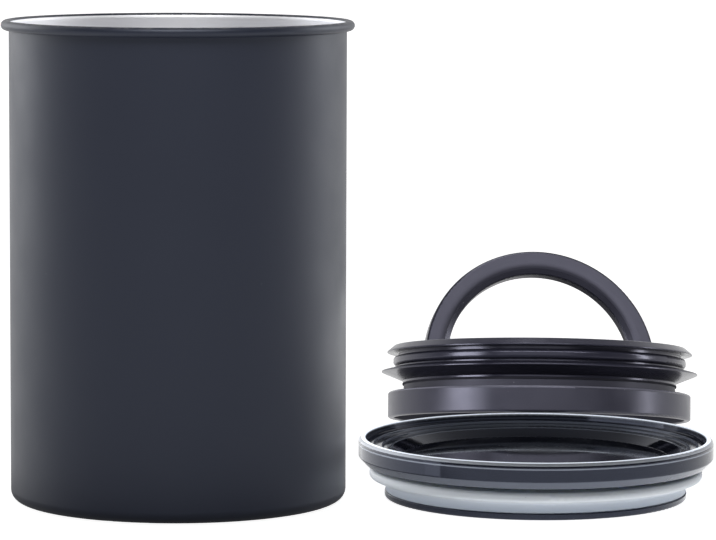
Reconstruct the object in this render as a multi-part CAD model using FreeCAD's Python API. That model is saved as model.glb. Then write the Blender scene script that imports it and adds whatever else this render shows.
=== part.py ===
import FreeCAD, Part
import math
import os

# A steel coffee canister that stands open beside its two lids. Millimetres, +Z up.
# The origin is the centre of the canister's base, on the table. The outer lid lies flat at the
# right. The inner lid leans back behind it: its skirt's back edge is on the table and its front
# edge rests on the outer lid's far rim. Outlines are (radius, height, corner rounding).

V = FreeCAD.Vector
ORIGIN = V(0, 0, 0)
ACROSS = V(1, 0, 0)
BACK = V(0, 1, 0)
UP = V(0, 0, 1)
FULL_TURN = 360
HALF_TURN = 180
QUARTER_TURN = 90

# Canister: one drawn steel can with a curled rim.
can_radius = 60.0
can_height = 171.5
can_wall = 0.7
can_corner = 4.0
curl_radius = 1.75
curl_end_deg = -110
base_groove_inset = 14.0
base_groove_width = 5.0
base_groove_depth = 1.2
base_groove_round = 0.5

# Outer lid: smoke-clear moulding with a stepped dish on top and a hollow plug below.
lid_stand_gap = 4.5
outer_lid_y = 6.0
lid_overhang = 0.5
lid_height = 21.5
lid_edge_round = 0.9
lid_fine_round = 0.35
rim_wall_height = 6.6
rim_round = 1.7
rim_taper_height = 2.8
rim_taper_depth = 2.6
rim_foot_width = 1.6
rim_channel_depth = 5.2
rim_channel_width = 4.0
rim_top_width = 2.6
dish_steps = 3
dish_first_drop = 2.4
dish_fine_drop = 0.8
dish_ledge_width = 2.7
dish_step_slope = 0.35
dish_cone_width = 4.2
panel_depth = 7.0
panel_wall = 2.2
plug_gap = 7.8
plug_wall = 2.2
plug_flange_width = 2.9
plug_flange_height = 2.4

# Outer lid's gasket: a silicone band with one fat rounded fin that seals in the can's mouth.
gasket_band = 2.6
fin_squeeze = 0.7
fin_root_low_share = 0.34
fin_root_high_share = 0.93
fin_tip_low_share = 0.50
fin_tip_high_share = 0.80
fin_round = 1.5

# Inner lid: sizes in its own frame, with height 0 at the skirt's lower edge.
skirt_clearance = 0.5
skirt_height = 10.2
skirt_wall = 2.4
skirt_round = 1.0
floor_wall = 2.0
floor_height = 5.2
shoulder_wall = 2.0
shoulder_width = 6.0
neck_rise = 2.8
ring_wall = 2.2
neck_wall = 2.2
ring_fit = 0.1
ring_flange_height = 0.6
ring_flange_overhang = 0.5
ring_round = 0.6

# Wiper gasket: a sleeve with a lower lip, a middle bead and an upper lip.
sleeve_wall = 2.6
sleeve_foot_height = 0.9
lower_lip_reach = 10.8
lower_lip_droop = 1.3
lower_lip_root_rise = 6.0
lower_lip_root_reach = 6.0
groove_reach = 4.4
groove_height = 0.8
bead_reach = 6.3
bead_height = 3.6
bead_round = 1.3
upper_lip_reach = 8.7
upper_lip_gap = 1.4
upper_lip_crown = 2.3
upper_lip_top_reach = 6.0
lip_tip = 0.5
lip_round = 0.2

# Handle: a half ring on a rod through both legs, moulded as a bow and its front cover.
handle_gap = 2.8
handle_width = 9.0
handle_thickness = 7.6
handle_split_share = 0.13
handle_grip_width_share = 0.38
handle_grip_depth_share = 0.78
handle_grip_round = 6.0
handle_front_round = 1.2
handle_back_round = 1.2
handle_edge_round = 0.5
handle_seam = 0.25
handle_lean_deg = 14
handle_fold_deg = 104
rod_radius = 1.5
rod_end_gap = 1.0
rod_running_gap = 0.05
boss_radius = 4.4
boss_gap = 0.5

# Valve: an eccentric on the rod lets a spring lift the plunger off a seat in the floor.
valve_lift = 2.4
cam_radius = 3.8
cam_width = 9.0
cam_gap = 0.25
port_radius = 5.6
port_bar_width = 1.4
port_bar_height = 1.2
seat_height = 1.2
seat_width = 1.2
seat_gap = 0.1
seal_thickness = 1.6
seal_overlap = 1.6
seal_round = 0.3
plunger_height = 6.25
plunger_round = 0.5
spring_room = 3.8
housing_wall = 2.0
housing_foot_width = 1.6
housing_foot_height = 1.4
housing_round = 0.5
housing_rod_gap = 0.3
plunger_gap = 0.4
window_width = 7.0
window_height = 4.0
window_sill = 0.8
window_count = 4
cap_wall = 1.2
cap_plug_height = 0.8
cap_plug_wall = 1.0
cap_plug_fit = 0.1
cap_cam_gap = 0.4
cap_round = 0.6
spring_wire_radius = 0.4
spring_turns = 3
spring_steps_per_turn = 4
spring_end_gap = 0.1

# Where the inner lid stands.
inner_lid_aside = 6.8
inner_lid_yaw_deg = 9
rest_inset = 2.8
rest_gap = 0.15

# One overrun serves all cuts.
cut_over = 1.0

# Sizes that follow from the ones above.
can_bore = can_radius - can_wall
base_groove_radius = can_radius - base_groove_inset
lid_rim_radius = can_radius + 2 * curl_radius + lid_overhang
outer_lid_x = can_radius + lid_stand_gap + lid_rim_radius
plug_radius = can_bore - plug_gap
plug_flange_radius = plug_radius + plug_flange_width
skirt_radius = can_bore - skirt_clearance
neck_radius = skirt_radius - shoulder_width
ring_radius = neck_radius - neck_wall
floor_top = floor_height + floor_wall
dish_radius = ring_radius - ring_wall
handle_outer_radius = dish_radius - handle_gap
handle_inner_radius = handle_outer_radius - handle_width
handle_split = handle_thickness * handle_split_share
neck_height = skirt_height + neck_rise
gasket_foot = neck_height + ring_flange_height
lower_lip_root_height = gasket_foot + lower_lip_root_rise
lower_lip_height = lower_lip_root_height - lower_lip_droop
bead_low = lower_lip_root_height + groove_height
bead_top = bead_low + bead_height
upper_lip_height = bead_top + upper_lip_gap + lip_tip
lid_top = upper_lip_height + upper_lip_crown
rod_half = ring_radius - rod_end_gap
fold = math.radians(handle_fold_deg)
cam_throw = valve_lift / (2 * math.sin(fold / 2))
seat_top = floor_top + seat_height
seal_bottom = seat_top + seat_gap + valve_lift
plunger_bottom = seal_bottom + seal_thickness
plunger_top = plunger_bottom + plunger_height
pivot_height = plunger_top + cam_gap - valve_lift / 2 + cam_radius
seal_radius = port_radius + seat_width + seal_overlap
housing_bore = seal_radius + spring_room
housing_radius = housing_bore + housing_wall
housing_top = pivot_height + cam_radius + cam_throw + cap_cam_gap
plunger_radius = housing_bore - plunger_gap


def rounded_path(corners, closed):
    """Edges through (radius, height, rounding) corners, each rounded by a tangent arc."""
    points = [V(r, 0, z) for r, z, _ in corners]
    count = len(points)
    joints = []
    for i, (_, _, rounding) in enumerate(corners):
        inner = closed or 0 < i < count - 1
        if not (rounding and inner):
            joints.append((points[i], None, points[i]))
            continue
        to_last = (points[i - 1] - points[i]).normalize()
        to_next = (points[(i + 1) % count] - points[i]).normalize()
        half = to_last.getAngle(to_next) / 2
        middle = (to_last + to_next).normalize()
        reach = rounding / math.tan(half)
        crest = middle * (rounding / math.sin(half) - rounding)
        joints.append((points[i] + to_last * reach, points[i] + crest, points[i] + to_next * reach))
    edges = []
    for i, (start, crest, end) in enumerate(joints):
        if crest is not None:
            edges.append(Part.Arc(start, crest, end).toShape())
        if closed or i < count - 1:
            edges.append(Part.makeLine(end, joints[(i + 1) % count][0]))
    return edges


def turned(corners):
    """A solid of revolution about Z from a closed outline."""
    face = Part.Face(Part.Wire(rounded_path(corners, True)))
    return face.revolve(ORIGIN, UP, FULL_TURN)


def rod_along(radius, low, high, y, z):
    """A round bar along X from low to high."""
    return Part.makeCylinder(radius, high - low, V(low, y, z), ACROSS)


def canister_shell():
    curl_x = can_bore + curl_radius
    curl_z = can_height - curl_radius
    curl_inner = curl_radius - can_wall
    bend = can_wall * math.tan(math.pi / 8)
    groove_in = base_groove_radius - base_groove_width / 2
    groove_out = base_groove_radius + base_groove_width / 2
    deep = base_groove_depth

    def on_curl(radius, degrees):
        angle = math.radians(degrees)
        return V(curl_x + radius * math.cos(angle), 0, curl_z + radius * math.sin(angle))

    wall = rounded_path([
        (can_radius, curl_z, 0),
        (can_radius, 0, can_corner),
        (groove_out, 0, base_groove_round),
        (groove_out - deep, deep, base_groove_round),
        (groove_in + deep, deep, base_groove_round),
        (groove_in, 0, base_groove_round),
        (0, 0, 0),
        (0, can_wall, 0),
        (groove_in - bend, can_wall, base_groove_round),
        (groove_in + deep - bend, deep + can_wall, base_groove_round),
        (groove_out - deep + bend, deep + can_wall, base_groove_round),
        (groove_out + bend, can_wall, base_groove_round),
        (can_bore, can_wall, can_corner - can_wall),
        (can_bore, curl_z, 0),
    ], False)
    mid_deg = (HALF_TURN + curl_end_deg) / 2
    outer = Part.Arc(on_curl(curl_radius, HALF_TURN), on_curl(curl_radius, mid_deg),
                     on_curl(curl_radius, curl_end_deg)).toShape()
    edge = Part.makeLine(on_curl(curl_radius, curl_end_deg), on_curl(curl_inner, curl_end_deg))
    inner = Part.Arc(on_curl(curl_inner, curl_end_deg), on_curl(curl_inner, mid_deg),
                     on_curl(curl_inner, HALF_TURN)).toShape()
    face = Part.Face(Part.Wire(wall + [outer, edge, inner]))
    return face.revolve(ORIGIN, UP, FULL_TURN)


def outer_lid_levels():
    """Heights shared by the outer lid's moulding and its gasket."""
    foot = lid_height - rim_wall_height - rim_taper_height
    panel = lid_height - panel_depth
    ledge = panel - panel_wall
    return foot, panel, ledge


def outer_lid_shell():
    foot, panel, ledge = outer_lid_levels()
    taper_radius = lid_rim_radius - rim_taper_depth
    channel_out = taper_radius - rim_foot_width
    channel_in = channel_out - rim_channel_width
    corners = [(0, panel, 0)]
    steps = []
    radius = lid_rim_radius - rim_top_width
    height = lid_height
    for step in range(dish_steps):
        drop = dish_fine_drop if step else dish_first_drop
        steps.append((radius, height, lid_fine_round))
        radius -= dish_step_slope
        height -= drop
        steps.append((radius, height, lid_fine_round))
        radius -= dish_ledge_width
    corners.append((radius - dish_cone_width, panel, lid_edge_round))
    corners.append((radius, height, lid_edge_round))
    corners.extend(reversed(steps))
    corners.extend([
        (lid_rim_radius, lid_height, rim_round),
        (lid_rim_radius, foot + rim_taper_height, lid_edge_round),
        (taper_radius, foot, lid_fine_round),
        (channel_out, foot, lid_fine_round),
        (channel_out, foot + rim_channel_depth, lid_fine_round),
        (channel_in, foot + rim_channel_depth, lid_fine_round),
        (channel_in, ledge, lid_fine_round),
        (plug_radius, ledge, 0),
        (plug_radius, plug_flange_height, 0),
        (plug_flange_radius, plug_flange_height, lid_fine_round),
        (plug_flange_radius, 0, lid_edge_round),
        (plug_radius - plug_wall, 0, lid_fine_round),
        (plug_radius - plug_wall, ledge, lid_edge_round),
        (0, ledge, 0),
    ])
    return turned(corners)


def outer_lid_gasket():
    _, _, ledge = outer_lid_levels()
    tall = ledge - plug_flange_height
    band = plug_radius + gasket_band
    fin = can_bore + fin_squeeze

    def height(share):
        return plug_flange_height + tall * share

    return turned([
        (plug_radius, plug_flange_height, 0),
        (band, plug_flange_height, lid_fine_round),
        (band, height(fin_root_low_share), lid_edge_round),
        (fin, height(fin_tip_low_share), fin_round),
        (fin, height(fin_tip_high_share), fin_round),
        (band, height(fin_root_high_share), lid_edge_round),
        (band, ledge, lid_fine_round),
        (plug_radius, ledge, 0),
    ])


def inner_lid_base():
    """Skirt, shoulder, neck and floor, with the valve's port and raised seat."""
    skirt_inner = skirt_radius - skirt_wall
    neck_inner = ring_radius + ring_fit
    seat_outer = port_radius + seat_width
    base = turned([
        (port_radius, floor_height, 0),
        (neck_radius, floor_height, 0),
        (neck_radius, skirt_height - shoulder_wall, 0),
        (skirt_inner, skirt_height - shoulder_wall, 0),
        (skirt_inner, 0, skirt_round / 2),
        (skirt_radius, 0, skirt_round),
        (skirt_radius, skirt_height, skirt_round),
        (neck_radius, skirt_height, 0),
        (neck_radius, neck_height, 0),
        (neck_inner, neck_height, 0),
        (neck_inner, floor_top, 0),
        (seat_outer, floor_top, 0),
        (seat_outer, seat_top, 0),
        (port_radius, seat_top, 0),
    ])
    span = 2 * port_radius
    for along, wide in ((span + cut_over, port_bar_width), (port_bar_width, span + cut_over)):
        bar = Part.makeBox(along, wide, port_bar_height, V(-along / 2, -wide / 2, floor_height))
        base = base.fuse(bar)
    return base.removeSplitter()


def inner_lid_ring():
    """The dish's wall, with a thin flange under the gasket and a boss for each rod end."""
    flange_radius = neck_radius + ring_flange_overhang
    ring = turned([
        (dish_radius, floor_top, 0),
        (ring_radius, floor_top, 0),
        (ring_radius, neck_height, 0),
        (flange_radius, neck_height, 0),
        (flange_radius, gasket_foot, 0),
        (ring_radius, gasket_foot, 0),
        (ring_radius, lid_top, 0),
        (dish_radius, lid_top, ring_round),
    ])
    boss_start = handle_outer_radius + boss_gap
    boss_end = ring_radius - ring_wall / 2
    for side in (1, -1):
        low, high = sorted((side * boss_start, side * boss_end))
        ring = ring.fuse(rod_along(boss_radius, low, high, 0, pivot_height))
    reach = ring_radius + cut_over
    bore = rod_along(rod_radius + rod_running_gap, -reach, reach, 0, pivot_height)
    return ring.cut(bore)


def wiper_gasket():
    return turned([
        (ring_radius, gasket_foot, 0),
        (ring_radius + sleeve_wall, gasket_foot, lip_round),
        (ring_radius + sleeve_wall, gasket_foot + sleeve_foot_height, lip_round),
        (ring_radius + lower_lip_reach, lower_lip_height - lip_tip, lip_round),
        (ring_radius + lower_lip_reach, lower_lip_height, lip_round),
        (ring_radius + lower_lip_root_reach, lower_lip_root_height, lip_round),
        (ring_radius + groove_reach, lower_lip_root_height, lip_round),
        (ring_radius + groove_reach, bead_low, lip_round),
        (ring_radius + bead_reach, bead_low, bead_round),
        (ring_radius + bead_reach, bead_top, bead_round),
        (ring_radius + groove_reach, bead_top, lip_round),
        (ring_radius + groove_reach, upper_lip_height - lip_tip, lip_round),
        (ring_radius + upper_lip_reach, upper_lip_height - lip_tip, lip_round),
        (ring_radius + upper_lip_reach, upper_lip_height, lip_round),
        (ring_radius + upper_lip_top_reach, lid_top, ring_round),
        (ring_radius, lid_top, 0),
    ])


def handle_section(side, split, grip, edge_round):
    """Cross-section of the handle from the seam at y = split to the face on one side."""
    seam = split + side * handle_seam
    corners = [
        (handle_inner_radius + handle_seam, split, 0),
        (handle_inner_radius, seam, 0),
        *grip,
        (handle_outer_radius, side * handle_thickness / 2, edge_round),
        (handle_outer_radius, seam, 0),
        (handle_outer_radius - handle_seam, split, 0),
    ]
    section = Part.Face(Part.Wire(rounded_path(corners, True)))
    section.rotate(ORIGIN, ACROSS, -QUARTER_TURN)
    return section


def handle_piece(section, foot_section, side):
    """The half ring of one section with a rounded foot on each leg, bored for the rod."""
    bow = section.revolve(ORIGIN, -BACK, HALF_TURN)
    foot = foot_section.revolve(ORIGIN, ACROSS * -side, QUARTER_TURN)
    piece = bow.fuse([foot, foot.mirror(ORIGIN, ACROSS)])
    reach = handle_outer_radius + cut_over
    piece = piece.cut(rod_along(rod_radius, -reach, reach, 0, 0)).removeSplitter()
    piece.rotate(ORIGIN, ACROSS, -handle_lean_deg)
    piece.translate(UP * pivot_height)
    return piece


def handle_front():
    """The cover, whose inner edge slopes away for the fingers."""
    face = -handle_thickness / 2
    deep = (handle_thickness / 2 - handle_split - handle_seam) * handle_grip_depth_share
    slope_start = handle_inner_radius + handle_width * handle_grip_width_share
    grip = [(handle_inner_radius, face + deep, handle_edge_round), (slope_start, face, handle_grip_round)]
    section = handle_section(-1, -handle_split, grip, handle_front_round)
    return handle_piece(section, section, -1)


def handle_back():
    grip = [(handle_inner_radius, handle_thickness / 2, handle_back_round)]
    section = handle_section(1, -handle_split, grip, handle_back_round)
    return handle_piece(section, handle_section(1, 0, grip, handle_back_round), 1)


def pivot_rod():
    return rod_along(rod_radius, -rod_half, rod_half, 0, pivot_height)


def valve_cam():
    """Eccentric that stands up and forwards at rest and bears on the plunger as it folds."""
    turn = math.pi / 2 + fold / 2
    y = -cam_throw * math.sin(turn)
    z = pivot_height - cam_throw * math.cos(turn)
    disc = rod_along(cam_radius, -cam_width / 2, cam_width / 2, y, z)
    return disc.cut(rod_along(rod_radius, -cam_width, cam_width, 0, pivot_height))


def valve_housing():
    """Round tower on the floor round the eccentric, with air windows at its foot."""
    foot_radius = housing_radius + housing_foot_width
    tower = turned([
        (housing_bore, floor_top, 0),
        (foot_radius, floor_top, 0),
        (foot_radius, floor_top + housing_foot_height, housing_round),
        (housing_radius, floor_top + housing_foot_height, housing_round),
        (housing_radius, housing_top, 0),
        (housing_bore, housing_top, 0),
    ])
    reach = housing_radius + cut_over
    tower = tower.cut(rod_along(rod_radius + housing_rod_gap, -reach, reach, 0, pivot_height))
    sill = floor_top + housing_foot_height + window_sill
    for i in range(window_count):
        window = Part.makeBox(reach, window_width, window_height, V(0, -window_width / 2, sill))
        window.rotate(ORIGIN, UP, (i + 1 / 2) * FULL_TURN / window_count)
        tower = tower.cut(window)
    return tower


def valve_cap():
    plug = housing_bore - cap_plug_fit
    return turned([
        (0, housing_top, 0),
        (plug - cap_plug_wall, housing_top, 0),
        (plug - cap_plug_wall, housing_top - cap_plug_height, 0),
        (plug, housing_top - cap_plug_height, 0),
        (plug, housing_top, 0),
        (housing_radius, housing_top, 0),
        (housing_radius, housing_top + cap_wall, cap_round),
        (0, housing_top + cap_wall, 0),
    ])


def valve_plunger():
    return turned([
        (0, plunger_bottom, 0),
        (plunger_radius, plunger_bottom, plunger_round),
        (plunger_radius, plunger_top, plunger_round),
        (0, plunger_top, 0),
    ])


def valve_seal():
    return turned([
        (0, seal_bottom, 0),
        (seal_radius, seal_bottom, seal_round),
        (seal_radius, plunger_bottom, 0),
        (0, plunger_bottom, 0),
    ])


def arc_edge(start, tangent, end):
    """Circular arc that leaves start along tangent and arrives at end."""
    chord = end - start
    half = tangent.getAngle(chord) / 2
    along = V(chord).normalize()
    aside = (tangent - along * tangent.dot(along)).normalize()
    crest = start + chord * (1 / 2) + aside * (chord.Length / 2 * math.tan(half))
    return Part.Arc(start, crest, end).toShape()


def valve_spring():
    """Open coil round the seat, between the floor and the plunger's rim."""
    coil_radius = (seal_radius + plunger_radius) / 2
    low = floor_top + spring_wire_radius + spring_end_gap
    high = plunger_bottom - spring_wire_radius - spring_end_gap
    pitch = (high - low) / spring_turns

    def place(turn):
        angle = 2 * math.pi * turn
        return V(coil_radius * math.cos(angle), coil_radius * math.sin(angle), low + pitch * turn)

    def heading(turn):
        angle = 2 * math.pi * turn
        sweep = 2 * math.pi * coil_radius
        return V(-sweep * math.sin(angle), sweep * math.cos(angle), pitch).normalize()

    edges = []
    for step in range(spring_turns * spring_steps_per_turn):
        here, there = step / spring_steps_per_turn, (step + 1) / spring_steps_per_turn
        start, end = place(here), place(there)
        out, arrive = heading(here), heading(there)
        span, both = end - start, out + arrive
        spread = 2 * (1 - out.dot(arrive))
        slack = span.dot(both)
        reach = (math.sqrt(slack ** 2 + spread * span.dot(span)) - slack) / spread
        meet = (start + end + (out - arrive) * reach) * (1 / 2)
        edges.append(arc_edge(start, out, meet))
        edges.append(arc_edge(end, -arrive, meet))
    wire = Part.Wire(edges)
    ring = Part.Wire(Part.makeCircle(spring_wire_radius, place(0), heading(0)))
    print("valve spring: least gap between turns %.2f mm" % (pitch - 2 * spring_wire_radius))
    return wire.makePipeShell([ring], True, False)


def inner_lid_place():
    """Placement of the inner lid, leaning back from the outer lid's far rim onto the table."""
    foot = skirt_radius - skirt_round
    inset = skirt_radius - rest_inset
    lean = math.asin((lid_height + rest_gap) / (foot + inset))
    apart = lid_rim_radius - rim_round + inset * math.cos(lean)
    aside = math.asin(inner_lid_aside / apart)
    x = outer_lid_x + inner_lid_aside
    y = outer_lid_y + apart * math.cos(aside)
    z = foot * math.sin(lean) + skirt_round * (1 - math.cos(lean))
    hinge_line = V(math.cos(aside), -math.sin(aside), 0)
    tilt = FreeCAD.Rotation(hinge_line, -math.degrees(lean))
    yaw = FreeCAD.Rotation(UP, inner_lid_yaw_deg)
    return FreeCAD.Placement(V(x, y, z), tilt.multiply(yaw))


def main():
    at_right = FreeCAD.Placement(V(outer_lid_x, outer_lid_y, 0), FreeCAD.Rotation())
    leaning = inner_lid_place()
    pieces = {
        "canister_shell": (canister_shell(), FreeCAD.Placement()),
        "outer_lid_shell": (outer_lid_shell(), at_right),
        "outer_lid_gasket": (outer_lid_gasket(), at_right),
        "inner_lid_base": (inner_lid_base(), leaning),
        "inner_lid_ring": (inner_lid_ring(), leaning),
        "wiper_gasket": (wiper_gasket(), leaning),
        "handle_front": (handle_front(), leaning),
        "handle_back": (handle_back(), leaning),
        "pivot_rod": (pivot_rod(), leaning),
        "valve_cam": (valve_cam(), leaning),
        "valve_housing": (valve_housing(), leaning),
        "valve_cap": (valve_cap(), leaning),
        "valve_plunger": (valve_plunger(), leaning),
        "valve_seal": (valve_seal(), leaning),
        "valve_spring": (valve_spring(), leaning),
    }
    os.makedirs("parts", exist_ok=True)
    for name, (shape, place) in pieces.items():
        shape.Placement = place.multiply(shape.Placement)
        shape.exportStep("parts/%s.step" % name)
        print("%s: %d solid, valid %s, %.0f mm3" % (name, len(shape.Solids), shape.isValid(), shape.Volume))


main()
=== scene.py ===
"""Finishes, studio and camera for the coffee canister with its two lids. Metres, +Z up."""

import math

import bpy
from mathutils import Matrix, Vector


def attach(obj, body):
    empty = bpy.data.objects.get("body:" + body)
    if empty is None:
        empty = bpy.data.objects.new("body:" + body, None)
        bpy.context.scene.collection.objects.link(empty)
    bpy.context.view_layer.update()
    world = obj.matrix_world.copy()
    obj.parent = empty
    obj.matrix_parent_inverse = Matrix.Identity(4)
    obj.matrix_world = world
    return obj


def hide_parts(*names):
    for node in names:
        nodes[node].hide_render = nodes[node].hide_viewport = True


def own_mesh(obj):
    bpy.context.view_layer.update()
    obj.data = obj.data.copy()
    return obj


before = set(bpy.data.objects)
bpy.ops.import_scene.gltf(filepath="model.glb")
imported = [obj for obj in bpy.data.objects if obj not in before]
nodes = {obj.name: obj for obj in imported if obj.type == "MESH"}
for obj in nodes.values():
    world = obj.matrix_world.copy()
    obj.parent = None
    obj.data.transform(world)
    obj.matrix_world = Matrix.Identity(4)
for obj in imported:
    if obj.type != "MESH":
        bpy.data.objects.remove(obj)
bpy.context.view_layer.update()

MM = 0.001

# Where the pieces stand and how large they are.
CAN_RADIUS = 60 * MM
CAN_WALL = 0.7 * MM
CAN_HEIGHT = 171.5 * MM
OUTER_LID_CENTRE = (128.5 * MM, 6 * MM, 0)
OUTER_LID_HEIGHT = 21.5 * MM
INNER_LID_CENTRE = (135.3 * MM, 123.08 * MM, 11.014 * MM)
INNER_LID_LEAN = math.radians(10.967)
INNER_LID_ASIDE = math.radians(3.324)
INNER_LID_YAW = math.radians(9)
HANDLE_LEAN = math.radians(14)

# The photograph's camera.
CAMERA_PLACE = Vector((57.8, -1457.5, 235.3)) * MM
CAMERA_YAW = math.radians(0.251)
CAMERA_PITCH = math.radians(5.988)
CAMERA_ROLL = math.radians(0.207)
CAMERA_LENS = 206.19
CAMERA_SENSOR = 36
CAMERA_SIGHT = 50

# How deep in the canister's wall, as shares of it, bare steel turns to coat.
COAT_STARTS, COAT_FULL = 0.7, 0.4

# Where a finish changes, as radii and heights in millimetres in a piece's own frame. Three numbers
# are a band with its soft ends' width, two are the ends of a slope, and one is a limit.
CAN_COATED_FOOT = 10
RIM_EDGE_HEIGHTS, RIM_EDGE_RADII = (20.6, 21.6, 0.3), (61.6, 64, 0.4)
RIM_CREST_HEIGHTS, RIM_CREST_RADII = (21.2, 21.6, 0.2), (61.5, 62.8, 0.25)
RIM_LINE_HEIGHTS, RIM_LINE_RADII = (19.2, 19.4, 0.25), (63.5, 65, 0.2)
THIN_WALL_HEIGHTS, THIN_WALL_RADII = (11, 14.6, 0.4), (59.5, 65, 0.5)
DISH_STEP_HEIGHTS = (16.8, 17.2)
DISH_SHADE_RADII = (52, 58)
DISH_DUST_RADII = (46, 52)
SEAL_FOOT_HEIGHTS = (2.4, 7.5)
SKIRT_EDGE_HEIGHTS, SKIRT_EDGE_RADII = (9.3, 9.8), (57.4, 57.9)
NECK_HEIGHTS, NECK_RADII = (10.3, 10.6), (52.5, 53.5, 0.5)
FLANGE_HEIGHTS = (12.9, 13.0)

# The radii of the dish's three step edges, and how far each one's painted highlight line
# reaches, in millimetres.
DISH_STEP_RADII = (58.35, 55.3, 52.25)
DISH_STEP_INWARDS, DISH_STEP_OUTWARDS, DISH_STEP_SOFT = 0.3, 0.1, 0.15

# How squarely a surface must look along the handle's outlook to be its face, and how far down to
# be the canister's base, as cosines.
HANDLE_FACE_OUTLOOK = (0.87, 0.985)
LOOKS_DOWN = -0.15


def grey(level):
    """A grey of that level."""
    return (level, level, level, 1.0)


# Colours. A pair is the two ends of a finish's change of tone.
COAT = (0.0066, 0.0084, 0.0178, 1), (0.0094, 0.0116, 0.0220, 1)
COAT_RUBBED = grey(0.12)
CAN_STEEL = (0.84, 0.84, 0.86, 1), (0.93, 0.93, 0.95, 1)
SMOKE = (0.016, 0.019, 0.032, 1), (0.026, 0.030, 0.046, 1)
# Next, the smoke lid's painted shade, painted light, painted highlights and painted glow.
SMOKE_PAINTED_SHADE = (0.004, 0.005, 0.009, 1)
SMOKE_PAINTED_LIGHT = (0.17, 0.19, 0.235, 1)
RIM_LINE_HIGHLIGHT = (0.55, 0.60, 0.70, 1)
RIM_EDGE_HIGHLIGHT = (0.86, 0.91, 1.0, 1)
RIM_CREST_PAINTED_GLOW = (0.60, 0.65, 0.73, 1)
DISH_STEP_HIGHLIGHT = (0.24, 0.27, 0.33, 1)
MILK = (0.80, 0.86, 0.94, 1), (0.88, 0.93, 1.0, 1)
# Painted shade on the seal's lower band.
MILK_FOOT_SHADE = (0.44, 0.51, 0.62, 1)
LID_BLACK = (0.0150, 0.0150, 0.0220, 1), (0.0210, 0.0210, 0.0290, 1)
LID_RUBBED = grey(0.05)
# A painted highlight on the skirt's top edge, then painted shade on the neck and flange.
SKIRT_EDGE_HIGHLIGHT = (0.100, 0.100, 0.125, 1)
NECK_SHADE = (0.0060, 0.0060, 0.0095, 1)
FLANGE_SHADE = (0.0010, 0.0010, 0.0016, 1)
SILICONE_BLACK = (0.0100, 0.0100, 0.0165, 1), (0.0150, 0.0150, 0.0230, 1)
HANDLE_FACE = (0.030, 0.0295, 0.039, 1), (0.037, 0.0365, 0.049, 1)
HANDLE_POLISHED = (0.0080, 0.0080, 0.0125, 1)
DRAWN_STEEL = grey(0.50), grey(0.62)
PALE_DUST, DISH_DUST, DARK_DUST = grey(0.3), grey(0.35), grey(0.25)
FLOOR = grey(0.7)
WHITE, BLACK = grey(1), grey(0)

# The tint of each finish's gloss.
COAT_GLOSS = (0.80, 0.86, 1.0, 1)
SMOKE_GLOSS = (0.68, 0.75, 1.0, 1)
BLACK_GLOSS = (0.78, 0.78, 1.0, 1)

# How strong the dish's painted shade and its dust are, from the first radius to the second.
DISH_SHADE = (0.65, 0.0)
DISH_DUST_SHARE = (0.6, 0.1)

# The part of each noise's range that a finish uses.
TONE_RANGE = (0.2, 0.8)
SMOKE_FILM_RANGE = (0.35, 0.75)
SILICONE_FILM_RANGE = (0.3, 0.7)
HANDLE_GRAIN_RANGE = (0.25, 0.75)
RUB_RANGE = (0.42, 0.62)

# Roughness, from one end of a finish's change of tone to the other, and what a mask adds to it.
COAT_ROUGHNESS = (0.44, 0.52)
CAN_STEEL_ROUGHNESS = (0.55, 0.68)
SMOKE_ROUGHNESS = (0.04, 0.13)
RUB_ROUGHER, SPECK_ROUGHER = 0.2, 0.5
MILK_ROUGHNESS = (0.34, 0.48)
LID_ROUGHNESS = (0.28, 0.38)
SKIRT_EDGE_SMOOTHER, NECK_ROUGHER, FLANGE_ROUGHER = -0.14, 0.20, 0.35
SILICONE_ROUGHNESS = (0.17, 0.26)
HANDLE_FACE_ROUGHNESS = (0.44, 0.58)
HANDLE_POLISHED_ROUGHNESS = 0.26
DRAWN_STEEL_ROUGHNESS = (0.22, 0.36)
PALE_PLASTIC_SPREAD = 0.1

# Inside the shared effects: how fast turned lines drift as they go round, the tone's scale next to
# the grain's, the solid share of a speck, the film's scale next to the specks', and the scale of
# rubbed patches.
LINE_DRIFT = 60.0
TONE_SCALE = 0.02
SPECK_CORE = 0.4
FILM_SCALE = 0.08
RUB_SCALE = 260.0

# The floor, with a painted shadow: it glows less to all but the camera next to the canister's foot.
FLOOR_SIZE = 30
FLOOR_DROP = 0.1 * MM
FLOOR_GLOW, FLOOR_PAINTED_SHADOW_GLOW = 0.95, 0.2
FLOOR_PAINTED_SHADOW_REACH = 2.2 * CAN_RADIUS

# The studio's brightness by the way it lies: from low to high, from one level to the other.
STUDIO_FRONT_TO_BACK = (-0.25, 0.45, 0.05, 1.0)
STUDIO_SIDE_TO_TOP = (0.45, 0.85, 1.0, 0.35)

# The spring's copy.
SPRING_MERGE = 0.001 * MM
SPRING_SMOOTH = math.radians(40)


def photo_camera():
    """The camera, at the photograph's viewing angle."""
    data = bpy.data.cameras.new("photo_camera")
    data.lens = CAMERA_LENS
    data.sensor_width = CAMERA_SENSOR
    data.clip_end = CAMERA_SIGHT
    camera = bpy.data.objects.new("photo_camera", data)
    bpy.context.scene.collection.objects.link(camera)
    turn = (
        Matrix.Rotation(-CAMERA_YAW, 4, "Z")
        @ Matrix.Rotation(math.pi / 2 - CAMERA_PITCH, 4, "X")
        @ Matrix.Rotation(CAMERA_ROLL, 4, "Z")
    )
    camera.matrix_world = Matrix.Translation(CAMERA_PLACE) @ turn
    bpy.context.scene.camera = camera


def inner_lid_matrix():
    """How the leaning inner lid is turned."""
    hinge_line = Vector((math.cos(INNER_LID_ASIDE), -math.sin(INNER_LID_ASIDE), 0))
    lean = Matrix.Rotation(-INNER_LID_LEAN, 3, hinge_line)
    return lean @ Matrix.Rotation(INNER_LID_YAW, 3, "Z")


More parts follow.
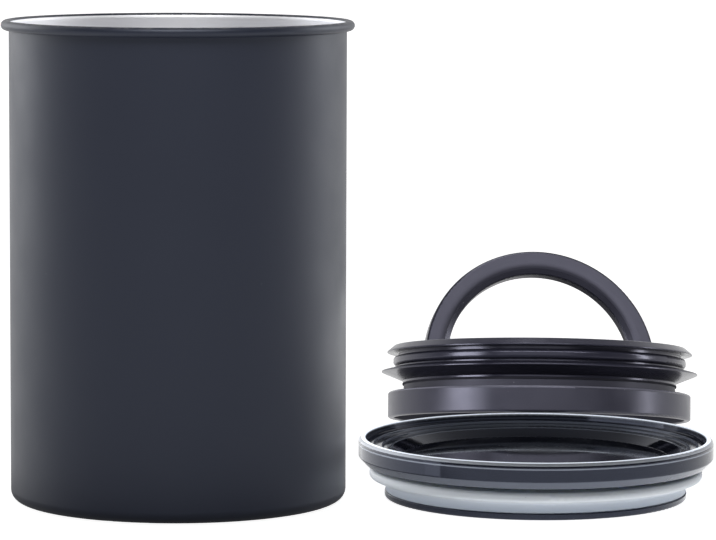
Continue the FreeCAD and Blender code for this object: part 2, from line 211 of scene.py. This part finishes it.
def handle_outlook():
    """Which way the handle's face looks, where it stands past upright."""
    lean = Matrix.Rotation(-HANDLE_LEAN, 3, "X")
    return tuple(inner_lid_matrix() @ lean @ Vector((0, -1, 0)))


def place(tree, kind, **settings):
    """A new node with these settings."""
    node = tree.nodes.new(kind)
    for name, value in settings.items():
        setattr(node, name, value)
    return node


def join(tree, value, socket):
    """Feeds a socket from another node's output, or sets it to a plain value."""
    if isinstance(value, bpy.types.NodeSocket):
        tree.links.new(value, socket)
    else:
        socket.default_value = value


def calculate(tree, operation, *values, clamp=False):
    """One math node's result."""
    node = place(tree, "ShaderNodeMath", operation=operation, use_clamp=clamp)
    for value, socket in zip(values, node.inputs):
        join(tree, value, socket)
    return node.outputs[0]


def times(tree, first, second):
    """The product of two values."""
    return calculate(tree, "MULTIPLY", first, second)


def calculate_vector(tree, operation, *values):
    """One vector math node's outputs."""
    node = place(tree, "ShaderNodeVectorMath", operation=operation)
    for value, socket in zip(values, node.inputs):
        join(tree, value, socket)
    return node.outputs


def ramp(tree, value, low, high, start=0.0, end=1.0):
    """Maps low..high of a value to start..end, easing in and out."""
    node = place(tree, "ShaderNodeMapRange", interpolation_type="SMOOTHSTEP")
    sockets = ("Value", "From Min", "From Max", "To Min", "To Max")
    for name, part in zip(sockets, (value, low, high, start, end)):
        join(tree, part, node.inputs[name])
    return node.outputs["Result"]


def slope(tree, value, ends, start=0.0, end=1.0):
    """A ramp whose two ends are given in millimetres."""
    low, high = ends
    return ramp(tree, value, low * MM, high * MM, start, end)


def band(tree, value, limits):
    """1 where a value lies between low and high, all in millimetres, with soft ends."""
    low, high, soft = limits
    rise = slope(tree, value, (low - soft, low))
    return times(tree, rise, slope(tree, value, (high, high + soft), 1.0, 0.0))


def blend_values(tree, share, first, second):
    """Goes from the first value to the second as share goes from 0 to 1."""
    node = place(tree, "ShaderNodeMix", data_type="FLOAT")
    for value, socket in zip((share, first, second), (0, 2, 3)):
        join(tree, value, node.inputs[socket])
    return node.outputs[0]


def blend_colours(tree, share, first, second):
    """Goes from the first colour to the second as share goes from 0 to 1."""
    node = place(tree, "ShaderNodeMix", data_type="RGBA")
    for value, socket in zip((share, first, second), (0, 6, 7)):
        join(tree, value, node.inputs[socket])
    return node.outputs[2]


def laid_over(tree, mask, under, over, amount):
    """One colour laid over another where a mask is, by that amount."""
    return blend_colours(tree, times(tree, mask, amount), under, over)


def noise(tree, spot, scale, detail, roughness):
    """Noise of that scale, from 0 to 1."""
    node = place(tree, "ShaderNodeTexNoise")
    sockets = ("Vector", "Scale", "Detail", "Roughness")
    for name, value in zip(sockets, (spot, scale, detail, roughness)):
        join(tree, value, node.inputs[name])
    return node.outputs["Fac"]


def parts_of(tree, vector):
    """A vector's X, Y and Z."""
    split = place(tree, "ShaderNodeSeparateXYZ")
    join(tree, vector, split.inputs[0])
    return split.outputs


def around_axis(tree, spot):
    """A spot's distance from the Z axis, and its height."""
    flat = calculate_vector(tree, "MULTIPLY", spot, (1, 1, 0))["Vector"]
    return calculate_vector(tree, "LENGTH", flat)["Value"], parts_of(tree, spot)["Z"]


def raised(tree, height, depth):
    """A normal from a height that goes from 0 to 1 over that depth."""
    bump = place(tree, "ShaderNodeBump")
    for name, value in (("Strength", 1.0), ("Distance", depth), ("Height", height)):
        join(tree, value, bump.inputs[name])
    return bump.outputs["Normal"]


def new_group(name, inputs, outputs):
    """An empty node group with these sockets; returns it, what it gets and what it puts out."""
    group = bpy.data.node_groups.new(name, "ShaderNodeTree")
    for label in inputs:
        kind = "NodeSocketVector" if label == "Vector" else "NodeSocketFloat"
        group.interface.new_socket(label, in_out="INPUT", socket_type=kind)
    for label in outputs:
        group.interface.new_socket(label, in_out="OUTPUT", socket_type="NodeSocketFloat")
    given = group.nodes.new("NodeGroupInput").outputs
    made = group.nodes.new("NodeGroupOutput").inputs
    return group, given, made


def moulded_grain_group():
    """The fine texture of a moulded or sprayed skin, and its slow change of tone."""
    group, given, made = new_group("moulded_grain", ["Vector", "Grain"], ["Height", "Tone"])
    scale = calculate(group, "DIVIDE", 1.0, given["Grain"])
    fine = noise(group, given["Vector"], scale, detail=2.0, roughness=0.6)
    join(group, fine, made["Height"])
    slow_scale = times(group, scale, TONE_SCALE)
    slow = noise(group, given["Vector"], slow_scale, detail=4.0, roughness=0.55)
    join(group, slow, made["Tone"])
    return group


def turned_lines_group():
    """Fine lines that run round the piece's own axis, as on turned or polished sheet."""
    group, given, made = new_group("turned_lines", ["Vector", "Pitch"], ["Lines"])
    radius, height = around_axis(group, given["Vector"])
    rows = calculate(group, "DIVIDE", calculate(group, "ADD", radius, height), given["Pitch"])
    across = parts_of(group, given["Vector"])
    spread = place(group, "ShaderNodeCombineXYZ")
    join(group, rows, spread.inputs["X"])
    join(group, times(group, across["X"], LINE_DRIFT), spread.inputs["Y"])
    join(group, times(group, across["Y"], LINE_DRIFT), spread.inputs["Z"])
    lines = noise(group, spread.outputs[0], 1.0, detail=3.0, roughness=0.6)
    join(group, lines, made["Lines"])
    return group


def dust_group():
    """Sparse specks of dust, and the thin film that they lie in."""
    group, given, made = new_group(
        "dust", ["Vector", "Spacing", "Speck", "Share"], ["Specks", "Film"]
    )
    cells = place(group, "ShaderNodeTexVoronoi")
    join(group, given["Vector"], cells.inputs["Vector"])
    join(group, calculate(group, "DIVIDE", 1.0, given["Spacing"]), cells.inputs["Scale"])
    away = times(group, cells.outputs["Distance"], given["Spacing"])
    chance = place(group, "ShaderNodeSeparateColor")
    join(group, cells.outputs["Color"], chance.inputs[0])
    size = times(group, given["Speck"], chance.outputs["Green"])
    near = ramp(group, away, times(group, size, SPECK_CORE), size, 1.0, 0.0)
    kept = calculate(group, "LESS_THAN", chance.outputs["Red"], given["Share"])
    join(group, times(group, near, kept), made["Specks"])
    wide = calculate(group, "DIVIDE", FILM_SCALE, given["Spacing"])
    film = noise(group, given["Vector"], wide, detail=5.0, roughness=0.65)
    join(group, film, made["Film"])
    return group


def rubbed_edge_group():
    """Where handling has rubbed an edge: patchy, and gone within the given width."""
    group, given, made = new_group("rubbed_edge", ["Vector", "Distance", "Width"], ["Rub"])
    near = ramp(group, given["Distance"], 0.0, given["Width"], 1.0, 0.0)
    cloud = noise(group, given["Vector"], RUB_SCALE, detail=4.0, roughness=0.7)
    join(group, times(group, near, ramp(group, cloud, *RUB_RANGE)), made["Rub"])
    return group


GRAIN = moulded_grain_group()
LINES = turned_lines_group()
DUST = dust_group()
RUB = rubbed_edge_group()


def effect(tree, group, **values):
    """One of the groups above in a material, with its own values."""
    node = place(tree, "ShaderNodeGroup", node_tree=group)
    for name, value in values.items():
        join(tree, value, node.inputs[name])
    return node.outputs


def new_finish(name, **constants):
    """A material whose shader has these constants; returns it, its tree and its shader's inputs."""
    finish = bpy.data.materials.new(name)
    finish.use_nodes = True
    tree = finish.node_tree
    tree.nodes.clear()
    shader = tree.nodes.new("ShaderNodeBsdfPrincipled")
    output = tree.nodes.new("ShaderNodeOutputMaterial")
    tree.links.new(shader.outputs[0], output.inputs["Surface"])
    for label, value in constants.items():
        shader.inputs[label.replace("_", " ")].default_value = value
    return finish, tree, shader.inputs


def own_frame(tree, centre=(0, 0, 0), turn=(0, 0, 0)):
    """Object coordinates, taken from a piece's own centre and turn."""
    spot = place(tree, "ShaderNodeTexCoord").outputs["Object"]
    mapping = place(tree, "ShaderNodeMapping", vector_type="TEXTURE")
    join(tree, spot, mapping.inputs["Vector"])
    mapping.inputs["Location"].default_value = centre
    mapping.inputs["Rotation"].default_value = turn
    return mapping.outputs["Vector"]


def inner_lid_frame(tree):
    """Object coordinates, taken from the leaning inner lid's own centre and turn."""
    return own_frame(tree, INNER_LID_CENTRE, tuple(inner_lid_matrix().to_euler("XYZ")))


def canister_finish():
    """Charcoal powder coat outside and over the curl, bare turned steel inside."""
    finish, tree, shader = new_finish(
        "canister_coat_and_steel", IOR=1.5, Specular_Tint=COAT_GLOSS
    )
    spot = own_frame(tree)
    radius, height = around_axis(tree, spot)
    facing = parts_of(tree, place(tree, "ShaderNodeTexCoord").outputs["Normal"])
    bare_radius = CAN_RADIUS - COAT_STARTS * CAN_WALL
    coated_radius = CAN_RADIUS - COAT_FULL * CAN_WALL
    outside = ramp(tree, radius, bare_radius, coated_radius)
    below = calculate(tree, "LESS_THAN", facing["Z"], LOOKS_DOWN)
    low = calculate(tree, "LESS_THAN", height, CAN_COATED_FOOT * MM)
    coat = calculate(tree, "MAXIMUM", outside, times(tree, below, low))

    powder = effect(tree, GRAIN, Vector=spot, Grain=0.45 * MM)
    lines = effect(tree, LINES, Vector=spot, Pitch=0.35 * MM)["Lines"]
    dust = effect(tree, DUST, Vector=spot, Spacing=5 * MM, Speck=0.22 * MM, Share=0.35)
    rim_away = calculate(tree, "SUBTRACT", CAN_HEIGHT, height)
    rub = effect(tree, RUB, Vector=spot, Distance=rim_away, Width=0.9 * MM)["Rub"]

    charcoal = blend_colours(tree, powder["Tone"], *COAT)
    charcoal = laid_over(tree, rub, charcoal, COAT_RUBBED, amount=0.5)
    charcoal = laid_over(tree, dust["Specks"], charcoal, PALE_DUST, amount=0.35)
    steel = blend_colours(tree, lines, *CAN_STEEL)
    join(tree, blend_colours(tree, coat, steel, charcoal), shader["Base Color"])
    join(tree, calculate(tree, "SUBTRACT", 1.0, coat), shader["Metallic"])
    matte = ramp(tree, powder["Tone"], *TONE_RANGE, *COAT_ROUGHNESS)
    polish = ramp(tree, lines, *TONE_RANGE, *CAN_STEEL_ROUGHNESS)
    join(tree, blend_values(tree, coat, polish, matte), shader["Roughness"])
    skin = blend_values(tree, coat, lines, powder["Height"])
    join(tree, raised(tree, skin, depth=0.015 * MM), shader["Normal"])
    return finish


def smoke_finish():
    """Smoke-clear moulding with a gloss skin, fine mould rings and dust in its dish.

    Its rim has painted highlights on its rounded top edge and along the step below it, a painted
    glow on its crest and painted light in its thin lower wall. Painted highlight lines mark the
    dish's step edges, and painted shade darkens the dish towards its middle.
    """
    finish, tree, shader = new_finish(
        "smoke_moulding",
        IOR=1.5,
        Transmission_Weight=0.35,
        Specular_Tint=SMOKE_GLOSS,
        Emission_Strength=1.0,
    )
    spot = own_frame(tree, OUTER_LID_CENTRE)
    radius, height = around_axis(tree, spot)
    dust = effect(tree, DUST, Vector=spot, Spacing=2.6 * MM, Speck=0.32 * MM, Share=0.4)
    rings = effect(tree, LINES, Vector=spot, Pitch=0.9 * MM)["Lines"]
    top_away = calculate(tree, "SUBTRACT", OUTER_LID_HEIGHT, height)
    rub = effect(tree, RUB, Vector=spot, Distance=top_away, Width=0.5 * MM)["Rub"]

    def hoop(heights, radii):
        """1 on the part of the lid that lies in both bands."""
        return times(tree, band(tree, height, heights), band(tree, radius, radii))

    # Painted highlight lines at the dish's three step edges.
    step_highlights = 0.0
    for step_radius in DISH_STEP_RADII:
        inside, outside = step_radius - DISH_STEP_INWARDS, step_radius + DISH_STEP_OUTWARDS
        line = band(tree, radius, (inside, outside, DISH_STEP_SOFT))
        step_highlights = calculate(tree, "MAXIMUM", step_highlights, line)
    step_highlights = times(tree, step_highlights, slope(tree, height, DISH_STEP_HEIGHTS))
    # Painted shade in the dish, strongest towards its middle.
    deep_shade = slope(tree, radius, DISH_SHADE_RADII, *DISH_SHADE)
    # Painted light in the rim's thin lower wall, paler as though lit through.
    thin_wall_light = hoop(THIN_WALL_HEIGHTS, THIN_WALL_RADII)
    # Painted highlight line along the step below the rim's top.
    rim_line_highlight = hoop(RIM_LINE_HEIGHTS, RIM_LINE_RADII)
    # Painted highlight on the rim's rounded top edge.
    rim_edge_highlight = hoop(RIM_EDGE_HEIGHTS, RIM_EDGE_RADII)
    # Painted glow on the rim's crest, fed to the emission though it is no lamp.
    rim_crest_glow = hoop(RIM_CREST_HEIGHTS, RIM_CREST_RADII)
    dusty = slope(tree, radius, DISH_DUST_RADII, *DISH_DUST_SHARE)
    specks = times(tree, dust["Specks"], dusty)

    smoke = blend_colours(tree, dust["Film"], *SMOKE)
    smoke = blend_colours(tree, deep_shade, smoke, SMOKE_PAINTED_SHADE)
    smoke = laid_over(tree, thin_wall_light, smoke, SMOKE_PAINTED_LIGHT, amount=0.8)
    smoke = laid_over(tree, rim_line_highlight, smoke, RIM_LINE_HIGHLIGHT, amount=0.85)
    smoke = blend_colours(tree, step_highlights, smoke, DISH_STEP_HIGHLIGHT)
    smoke = blend_colours(tree, rim_edge_highlight, smoke, RIM_EDGE_HIGHLIGHT)
    join(tree, blend_colours(tree, specks, smoke, DISH_DUST), shader["Base Color"])
    film = ramp(tree, dust["Film"], *SMOKE_FILM_RANGE, *SMOKE_ROUGHNESS)
    worn = calculate(tree, "MULTIPLY_ADD", rub, RUB_ROUGHER, film)
    rough = calculate(tree, "MULTIPLY_ADD", specks, SPECK_ROUGHER, worn, clamp=True)
    join(tree, rough, shader["Roughness"])
    # The rim crest's painted glow.
    join(tree, blend_colours(tree, rim_crest_glow, BLACK, RIM_CREST_PAINTED_GLOW), shader["Emission Color"])
    join(tree, raised(tree, rings, depth=0.0015 * MM), shader["Normal"])
    return finish


def frosted_finish():
    """Milky silicone of the outer lid's seal, cloudy in depth, with a matte skin."""
    finish, tree, shader = new_finish(
        "frosted_silicone",
        IOR=1.41,
        Transmission_Weight=0.25,
        Subsurface_Weight=0.35,
        Subsurface_Scale=2.5 * MM,
        Subsurface_Radius=(1.0, 1.0, 1.1),
    )
    spot = own_frame(tree, OUTER_LID_CENTRE)
    grain = effect(tree, GRAIN, Vector=spot, Grain=0.35 * MM)
    dust = effect(tree, DUST, Vector=spot, Spacing=2.2 * MM, Speck=0.22 * MM, Share=0.35)
    # Painted shade: the seal is darker on its lower band, under its fin.
    foot = slope(tree, parts_of(tree, spot)["Z"], SEAL_FOOT_HEIGHTS, 1.0, 0.0)
    milk = blend_colours(tree, grain["Tone"], *MILK)
    milk = laid_over(tree, foot, milk, MILK_FOOT_SHADE, amount=0.75)
    milk = laid_over(tree, dust["Specks"], milk, DARK_DUST, amount=0.5)
    join(tree, milk, shader["Base Color"])
    join(tree, ramp(tree, grain["Tone"], *TONE_RANGE, *MILK_ROUGHNESS), shader["Roughness"])
    join(tree, raised(tree, grain["Height"], depth=0.01 * MM), shader["Normal"])
    return finish


def black_moulding_finish():
    """Satin black plastic of the inner lid.

    It has a painted highlight along the top edge of its skirt, and painted shade on its neck and
    thin flange, which are also rougher.
    """
    finish, tree, shader = new_finish(
        "satin_black_moulding", IOR=1.48, Specular_Tint=BLACK_GLOSS
    )
    spot = inner_lid_frame(tree)
    radius, height = around_axis(tree, spot)
    grain = effect(tree, GRAIN, Vector=spot, Grain=0.3 * MM)
    dust = effect(tree, DUST, Vector=spot, Spacing=3 * MM, Speck=0.26 * MM, Share=0.35)
    rub = effect(tree, RUB, Vector=spot, Distance=height, Width=0.8 * MM)["Rub"]
    # Painted highlight along the skirt's top edge; the same mask also makes it smoother.
    skirt_top = slope(tree, height, SKIRT_EDGE_HEIGHTS)
    edge = times(tree, skirt_top, slope(tree, radius, SKIRT_EDGE_RADII))
    # Painted shade on the neck and thin flange under the gasket's lip; also rougher there.
    wall = band(tree, radius, NECK_RADII)
    neck = times(tree, wall, slope(tree, height, NECK_HEIGHTS))
    flange = times(tree, wall, slope(tree, height, FLANGE_HEIGHTS))

    black = blend_colours(tree, grain["Tone"], *LID_BLACK)
    black = laid_over(tree, rub, black, LID_RUBBED, amount=0.4)
    black = blend_colours(tree, edge, black, SKIRT_EDGE_HIGHLIGHT)
    black = blend_colours(tree, neck, black, NECK_SHADE)
    black = blend_colours(tree, flange, black, FLANGE_SHADE)
    black = laid_over(tree, dust["Specks"], black, PALE_DUST, amount=0.5)
    join(tree, black, shader["Base Color"])
    satin = ramp(tree, grain["Tone"], *TONE_RANGE, *LID_ROUGHNESS)
    for mask, change in (
        (edge, SKIRT_EDGE_SMOOTHER),
        (neck, NECK_ROUGHER),
        (flange, FLANGE_ROUGHER),
    ):
        satin = calculate(tree, "MULTIPLY_ADD", mask, change, satin)
    join(tree, satin, shader["Roughness"])
    join(tree, raised(tree, grain["Height"], depth=0.008 * MM), shader["Normal"])
    return finish


def black_silicone_finish():
    """Black silicone of the wiper gasket: a softer sheen, and it holds dust."""
    finish, tree, shader = new_finish("black_silicone", IOR=1.45, Specular_Tint=BLACK_GLOSS)
    spot = inner_lid_frame(tree)
    grain = effect(tree, GRAIN, Vector=spot, Grain=0.25 * MM)
    dust = effect(tree, DUST, Vector=spot, Spacing=1.8 * MM, Speck=0.22 * MM, Share=0.45)
    black = blend_colours(tree, dust["Film"], *SILICONE_BLACK)
    black = laid_over(tree, dust["Specks"], black, PALE_DUST, amount=0.5)
    join(tree, black, shader["Base Color"])
    sheen = ramp(tree, dust["Film"], *SILICONE_FILM_RANGE, *SILICONE_ROUGHNESS)
    join(tree, sheen, shader["Roughness"])
    join(tree, raised(tree, grain["Height"], depth=0.006 * MM), shader["Normal"])
    return finish


def handle_finish():
    """Handle plastic: a spark-worn mould's fine texture on its face, polished black elsewhere."""
    finish, tree, shader = new_finish(
        "textured_handle_plastic", IOR=1.42, Specular_Tint=BLACK_GLOSS
    )
    spot = inner_lid_frame(tree)
    grain = effect(tree, GRAIN, Vector=spot, Grain=0.22 * MM)
    dust = effect(tree, DUST, Vector=spot, Spacing=3.4 * MM, Speck=0.22 * MM, Share=0.3)
    facing = place(tree, "ShaderNodeTexCoord").outputs["Normal"]
    outlook = calculate_vector(tree, "DOT_PRODUCT", facing, handle_outlook())["Value"]
    face = ramp(tree, outlook, *HANDLE_FACE_OUTLOOK)
    charcoal = blend_colours(tree, grain["Tone"], *HANDLE_FACE)
    charcoal = blend_colours(tree, face, HANDLE_POLISHED, charcoal)
    charcoal = laid_over(tree, dust["Specks"], charcoal, PALE_DUST, amount=0.4)
    join(tree, charcoal, shader["Base Color"])
    texture = ramp(tree, grain["Height"], *HANDLE_GRAIN_RANGE, *HANDLE_FACE_ROUGHNESS)
    rough = blend_values(tree, face, HANDLE_POLISHED_ROUGHNESS, texture)
    join(tree, rough, shader["Roughness"])
    relief = times(tree, grain["Height"], face)
    join(tree, raised(tree, relief, depth=0.03 * MM), shader["Normal"])
    return finish


def bright_steel_finish():
    """Drawn steel of the rod and the spring."""
    finish, tree, shader = new_finish("drawn_steel", Metallic=1.0)
    grain = effect(tree, GRAIN, Vector=inner_lid_frame(tree), Grain=0.2 * MM)
    join(tree, blend_colours(tree, grain["Tone"], *DRAWN_STEEL), shader["Base Color"])
    drawn = ramp(tree, grain["Height"], *TONE_RANGE, *DRAWN_STEEL_ROUGHNESS)
    join(tree, drawn, shader["Roughness"])
    join(tree, raised(tree, grain["Height"], depth=0.004 * MM), shader["Normal"])
    return finish


def pale_plastic_finish(name, darkest, palest, rough):
    """The valve's own pale pieces, moulded in plain plastic or silicone."""
    finish, tree, shader = new_finish(name, IOR=1.48)
    grain = effect(tree, GRAIN, Vector=inner_lid_frame(tree), Grain=0.3 * MM)
    pale = blend_colours(tree, grain["Tone"], grey(darkest), grey(palest))
    join(tree, pale, shader["Base Color"])
    dull = ramp(tree, grain["Tone"], *TONE_RANGE, rough, rough + PALE_PLASTIC_SPREAD)
    join(tree, dull, shader["Roughness"])
    join(tree, raised(tree, grain["Height"], depth=0.008 * MM), shader["Normal"])
    return finish


def dress(finish, *names):
    """Gives a finish to these CAD nodes."""
    for name in names:
        for slot in nodes[name].material_slots:
            slot.material = finish


def squeezed_spring():
    """The valve's spring on its floor: a smooth-shaded copy, carried by the inner lid."""
    bpy.ops.object.select_all(action="DESELECT")
    spring = bpy.data.objects.new("coil_spring", nodes["valve_spring"].data.copy())
    bpy.context.scene.collection.objects.link(spring)
    spring.select_set(True)
    bpy.context.view_layer.objects.active = spring
    bpy.ops.object.mode_set(mode="EDIT")
    bpy.ops.mesh.select_all(action="SELECT")
    bpy.ops.mesh.remove_doubles(threshold=SPRING_MERGE)
    bpy.ops.object.mode_set(mode="OBJECT")
    bpy.ops.object.shade_smooth_by_angle(angle=SPRING_SMOOTH)
    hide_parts("valve_spring")
    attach(spring, "inner_lid")
    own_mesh(spring)


def white_sweep():
    """The pale floor that the pieces stand on, with a painted shadow round the canister's foot."""
    bpy.ops.object.select_all(action="DESELECT")
    bpy.ops.mesh.primitive_plane_add(size=FLOOR_SIZE, location=(0, 0, -FLOOR_DROP))
    floor = bpy.context.object
    floor.name = "floor"
    finish, tree, shader = new_finish(
        "pale_floor",
        Base_Color=FLOOR,
        Roughness=0.9,
        Specular_IOR_Level=0.0,
        Emission_Color=WHITE,
    )
    spot = place(tree, "ShaderNodeTexCoord").outputs["Object"]
    away = calculate_vector(tree, "LENGTH", spot)["Value"]
    # Painted shadow: the floor glows less near the canister's foot, to all but the camera.
    lit = ramp(tree, away, CAN_RADIUS, FLOOR_PAINTED_SHADOW_REACH, FLOOR_PAINTED_SHADOW_GLOW, FLOOR_GLOW)
    seen = place(tree, "ShaderNodeLightPath").outputs["Is Camera Ray"]
    glow = calculate(tree, "MAXIMUM", lit, times(tree, seen, FLOOR_GLOW))
    join(tree, glow, shader["Emission Strength"])
    floor.data.materials.append(finish)


def studio_world():
    """A white studio that is dimmer on the camera's side and overhead."""
    world = bpy.data.worlds.new("studio")
    bpy.context.scene.world = world
    world.use_nodes = True
    tree = world.node_tree
    tree.nodes.clear()
    way = parts_of(tree, place(tree, "ShaderNodeTexCoord").outputs["Generated"])
    around = ramp(tree, way["Y"], *STUDIO_FRONT_TO_BACK)
    overhead = ramp(tree, way["Z"], *STUDIO_SIDE_TO_TOP)
    seen = place(tree, "ShaderNodeLightPath").outputs["Is Camera Ray"]
    strength = calculate(tree, "MAXIMUM", times(tree, around, overhead), seen)
    sky = place(tree, "ShaderNodeBackground")
    sky.inputs["Color"].default_value = WHITE
    join(tree, strength, sky.inputs["Strength"])
    output = place(tree, "ShaderNodeOutputWorld")
    tree.links.new(sky.outputs[0], output.inputs["Surface"])


def softbox(name, at, towards, size, power, lit_nodes):
    """A soft studio light, which is flagged off from all but some CAD nodes."""
    data = bpy.data.lights.new(name, "AREA")
    data.shape = "RECTANGLE"
    data.size, data.size_y = size
    data.energy = power
    light = bpy.data.objects.new(name, data)
    bpy.context.scene.collection.objects.link(light)
    aim = (Vector(towards) - Vector(at)).to_track_quat("-Z", "Y")
    light.matrix_world = Matrix.Translation(at) @ aim.to_matrix().to_4x4()
    light.visible_camera = False
    lit = bpy.data.collections.new(name + "_lit")
    for node in lit_nodes:
        lit.objects.link(nodes[node])
    light.light_linking.receiver_collection = lit
    light.light_linking.blocker_collection = lit


photo_camera()
studio_world()
white_sweep()

CANISTER = ["canister_shell"]
OUTER_LID = ["outer_lid_shell", "outer_lid_gasket"]
INNER_LID = [name for name in nodes if name not in CANISTER + OUTER_LID]
MIDDLE = (0.07, 0.04, 0.07)
LIDS_MIDDLE = (0.13, 0.07, 0.03)
CAN_MOUTH = (0, 0, 0.17)
CAN_EDGE = (0.056, -0.02, 0.025)
LID_SIDE = (0.2, 0.0, 0.045)
# Each light's name, place, aim, size, power, and the CAD nodes that it lights.
for light_setting in (
    ("left_softbox", (-1.02, 0.62, 0.45), MIDDLE, (0.9, 0.8), 6.0, CANISTER),
    ("right_softbox", (1.15, 0.55, 0.45), MIDDLE, (0.6, 0.8), 5.6, CANISTER),
    ("edge_card", (0.185, 0.133, 0.025), CAN_EDGE, (0.19, 0.05), 0.052, CANISTER),
    ("left_card", (0.04, 0.0, 0.045), LID_SIDE, (0.14, 0.09), 0.055, OUTER_LID),
    ("top_softbox", (0.0, -0.62, 0.95), CAN_MOUTH, (0.6, 0.5), 9.5, CANISTER),
    ("left_strip", (-0.80, -0.38, 0.22), LIDS_MIDDLE, (0.42, 0.5), 9.0, INNER_LID),
    ("right_strip", (1.1, 0.05, 0.22), LIDS_MIDDLE, (0.16, 0.5), 3.0, INNER_LID),
    ("front_softbox", (0.15, -1.0, 0.85), LIDS_MIDDLE, (1.9, 0.3), 21.0, INNER_LID),
    ("lid_top_softbox", (0.14, 0.1, 1.0), LIDS_MIDDLE, (0.5, 0.5), 6.0, INNER_LID),
    ("front_card", (0.0, -1.35, 0.42), LIDS_MIDDLE, (1.6, 0.3), 2.0, INNER_LID),
):
    softbox(*light_setting)

dress(canister_finish(), "canister_shell")
dress(smoke_finish(), "outer_lid_shell")
dress(frosted_finish(), "outer_lid_gasket")
dress(
    black_moulding_finish(), "inner_lid_base", "inner_lid_ring", "valve_housing", "valve_cap"
)
dress(black_silicone_finish(), "wiper_gasket")
dress(handle_finish(), "handle_front", "handle_back")
dress(bright_steel_finish(), "pivot_rod", "valve_spring")
dress(pale_plastic_finish("valve_plastic", 0.48, 0.58, 0.35), "valve_cam", "valve_plunger")
dress(pale_plastic_finish("valve_silicone", 0.52, 0.62, 0.45), "valve_seal")
squeezed_spring()

bpy.context.scene.view_settings.view_transform = "Standard"
